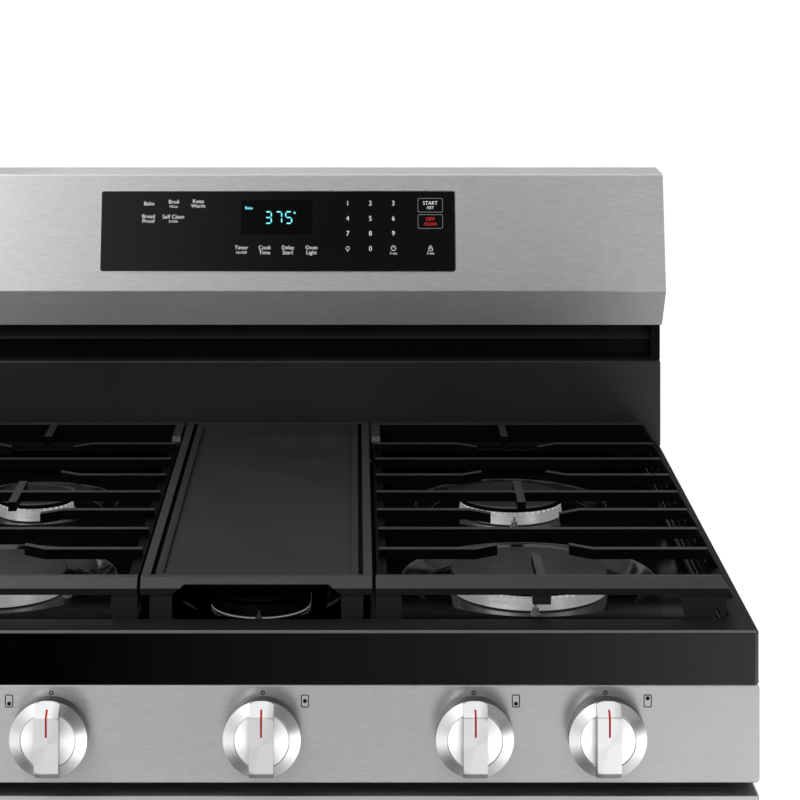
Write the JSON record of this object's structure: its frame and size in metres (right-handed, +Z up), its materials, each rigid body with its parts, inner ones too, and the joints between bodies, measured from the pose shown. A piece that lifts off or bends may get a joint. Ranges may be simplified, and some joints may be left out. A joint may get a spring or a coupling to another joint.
{
  "type": "freestanding gas range",
  "caption": "Freestanding gas range with cast grates, a centre griddle, front knobs, backguard touch control, oven with drop-down door and storage drawer.",
  "frame": {"origin": "floor level, centre of the whole outline in plan", "axes": "+X to the right seen from the front, +Y to the rear, +Z up"},
  "size_m": [0.759, 0.7, 1.186],
  "materials": {
    "stainless": "brushed",
    "black_enamel": "gloss vitreous enamel",
    "panel_paint": "satin",
    "galvanised": "zinc coated",
    "cast_grate": "matte enamel",
    "griddle_coat": "satin non-stick",
    "burner_alloy": "cast and turned",
    "cap_enamel": "matte enamel",
    "knob_metal": "satin",
    "trim_dark": "satin",
    "black_glass": "gloss",
    "window_glass": "tinted",
    "clear_glass": "clear",
    "oven_enamel": "speckled enamel",
    "wool": "glass wool",
    "gasket_rope": "woven",
    "chrome_wire": "bright",
    "brass": "machined",
    "tube_alloy": "drawn",
    "board": "solder mask",
    "ceramic_pin": "glazed",
    "cord_rubber": "matte",
    "foot_zinc": "zinc",
    "die_cast": "die cast"
  },
  "bodies": {
    "chassis": {"base_frame": "galvanised", "leveling_feet": "foot_zinc", "side_panels": "panel_paint", "rear_cover": "galvanised", "cover_screws": "foot_zinc", "cooktop": "black_enamel", "knob_fascia": "stainless", "knob_bezels": "trim_dark", "gas_manifold": "galvanised", "pressure_regulator": "die_cast", "burner_valves": "brass", "supply_tubes": "tube_alloy", "burner_bases": "die_cast", "burner_heads": "burner_alloy", "spark_electrodes": "ceramic_pin", "backguard_frame": "black_enamel", "backguard_lower_panel": "black_enamel", "control_housing": "stainless", "touch_glass": "black_glass", "control_board": "board", "oven_cavity": "oven_enamel", "oven_insulation": "wool", "oven_floor": "oven_enamel", "bake_burner": "galvanised", "broil_burner": "galvanised", "door_gasket": "gasket_rope", "door_hinges": "galvanised", "drawer_runners": "galvanised", "power_cord": "cord_rubber"},
    "door": {"door_skin": "stainless", "door_glass": "window_glass", "door_top_vent": "trim_dark", "door_liner": "oven_enamel", "door_inner_glass": "clear_glass", "door_handle": "stainless", "handle_mounts": "stainless", "hinge_channels": "galvanised"},
    "drawer": {"drawer_front": "stainless", "drawer_box": "panel_paint"},
    "rack_upper": {"oven_rack_upper": "chrome_wire"},
    "rack_lower": {"oven_rack_lower": "chrome_wire"},
    "rotor_left_rear": {"valve_rotor_left_rear": "brass"},
    "knob_left_rear": {"knob_left_rear": "knob_metal"},
    "rotor_left_front": {"valve_rotor_left_front": "brass"},
    "knob_left_front": {"knob_left_front": "knob_metal"},
    "rotor_centre": {"valve_rotor_centre": "brass"},
    "knob_centre": {"knob_centre": "knob_metal"},
    "rotor_right_front": {"valve_rotor_right_front": "brass"},
    "knob_right_front": {"knob_right_front": "knob_metal"},
    "rotor_right_rear": {"valve_rotor_right_rear": "brass"},
    "knob_right_rear": {"knob_right_rear": "knob_metal"},
    "grate_left": {"grate_left": "cast_grate"},
    "grate_centre": {"grate_centre": "cast_grate"},
    "grate_right": {"grate_right": "cast_grate"},
    "griddle": {"griddle": "griddle_coat"},
    "cap_left_front": {"cap_left_front": "cap_enamel"},
    "cap_left_rear": {"cap_left_rear": "cap_enamel"},
    "cap_right_front": {"cap_right_front": "cap_enamel"},
    "cap_right_rear": {"cap_right_rear": "cap_enamel"},
    "cap_centre": {"cap_centre": "cap_enamel"}
  },
  "joints": [
    {"name": "door_hinge", "type": "hinge", "parent": "chassis", "child": "door", "pos_m": [0, -0.268, 0.222], "axis": [1, 0, 0], "range_deg": [0, 88]},
    {"name": "drawer_slide", "type": "slide", "parent": "chassis", "child": "drawer", "axis": [0, -1, 0], "range_m": [0, 0.38]},
    {"name": "rack_upper_slide", "type": "slide", "parent": "chassis", "child": "rack_upper", "axis": [0, -1, 0], "range_m": [0, 0.025]},
    {"name": "rack_lower_slide", "type": "slide", "parent": "chassis", "child": "rack_lower", "axis": [0, -1, 0], "range_m": [0, 0.025]},
    {"name": "turn_left_rear", "type": "hinge", "parent": "chassis", "child": "rotor_left_rear", "pos_m": [-0.251, -0.29, 0.839], "axis": [0, -1, 0], "range_deg": [0, 270]},
    {"name": "push_left_rear", "type": "slide", "parent": "rotor_left_rear", "child": "knob_left_rear", "axis": [0, 1, 0], "range_m": [0, 0.003], "stiffness_N_per_m": 800, "springref_m": -0.001},
    {"name": "turn_left_front", "type": "hinge", "parent": "chassis", "child": "rotor_left_front", "pos_m": [-0.1524, -0.29, 0.839], "axis": [0, -1, 0], "range_deg": [0, 270]},
    {"name": "push_left_front", "type": "slide", "parent": "rotor_left_front", "child": "knob_left_front", "axis": [0, 1, 0], "range_m": [0, 0.003], "stiffness_N_per_m": 800, "springref_m": -0.001},
    {"name": "turn_centre", "type": "hinge", "parent": "chassis", "child": "rotor_centre", "pos_m": [0.0063, -0.29, 0.839], "axis": [0, -1, 0], "range_deg": [0, 270]},
    {"name": "push_centre", "type": "slide", "parent": "rotor_centre", "child": "knob_centre", "axis": [0, 1, 0], "range_m": [0, 0.003], "stiffness_N_per_m": 800, "springref_m": -0.001},
    {"name": "turn_right_front", "type": "hinge", "parent": "chassis", "child": "rotor_right_front", "pos_m": [0.1647, -0.29, 0.839], "axis": [0, -1, 0], "range_deg": [0, 270]},
    {"name": "push_right_front", "type": "slide", "parent": "rotor_right_front", "child": "knob_right_front", "axis": [0, 1, 0], "range_m": [0, 0.003], "stiffness_N_per_m": 800, "springref_m": -0.001},
    {"name": "turn_right_rear", "type": "hinge", "parent": "chassis", "child": "rotor_right_rear", "pos_m": [0.2636, -0.29, 0.839], "axis": [0, -1, 0], "range_deg": [0, 270]},
    {"name": "push_right_rear", "type": "slide", "parent": "rotor_right_rear", "child": "knob_right_rear", "axis": [0, 1, 0], "range_m": [0, 0.003], "stiffness_N_per_m": 800, "springref_m": -0.001},
    {"name": "lift_grate_left", "type": "slide", "parent": "chassis", "child": "grate_left", "axis": [0, 0, 1], "range_m": [0, 0.06]},
    {"name": "lift_grate_centre", "type": "slide", "parent": "chassis", "child": "grate_centre", "axis": [0, 0, 1], "range_m": [0, 0.06]},
    {"name": "lift_grate_right", "type": "slide", "parent": "chassis", "child": "grate_right", "axis": [0, 0, 1], "range_m": [0, 0.06]},
    {"name": "lift_griddle", "type": "slide", "parent": "grate_centre", "child": "griddle", "axis": [0, 0, 1], "range_m": [0, 0.05]},
    {"name": "lift_cap_left_front", "type": "slide", "parent": "chassis", "child": "cap_left_front", "axis": [0, 0, 1], "range_m": [0, 0.008]},
    {"name": "lift_cap_left_rear", "type": "slide", "parent": "chassis", "child": "cap_left_rear", "axis": [0, 0, 1], "range_m": [0, 0.008]},
    {"name": "lift_cap_right_front", "type": "slide", "parent": "chassis", "child": "cap_right_front", "axis": [0, 0, 1], "range_m": [0, 0.008]},
    {"name": "lift_cap_right_rear", "type": "slide", "parent": "chassis", "child": "cap_right_rear", "axis": [0, 0, 1], "range_m": [0, 0.008]},
    {"name": "lift_cap_centre", "type": "slide", "parent": "chassis", "child": "cap_centre", "axis": [0, 0, 1], "range_m": [0, 0.008]}
  ]
}
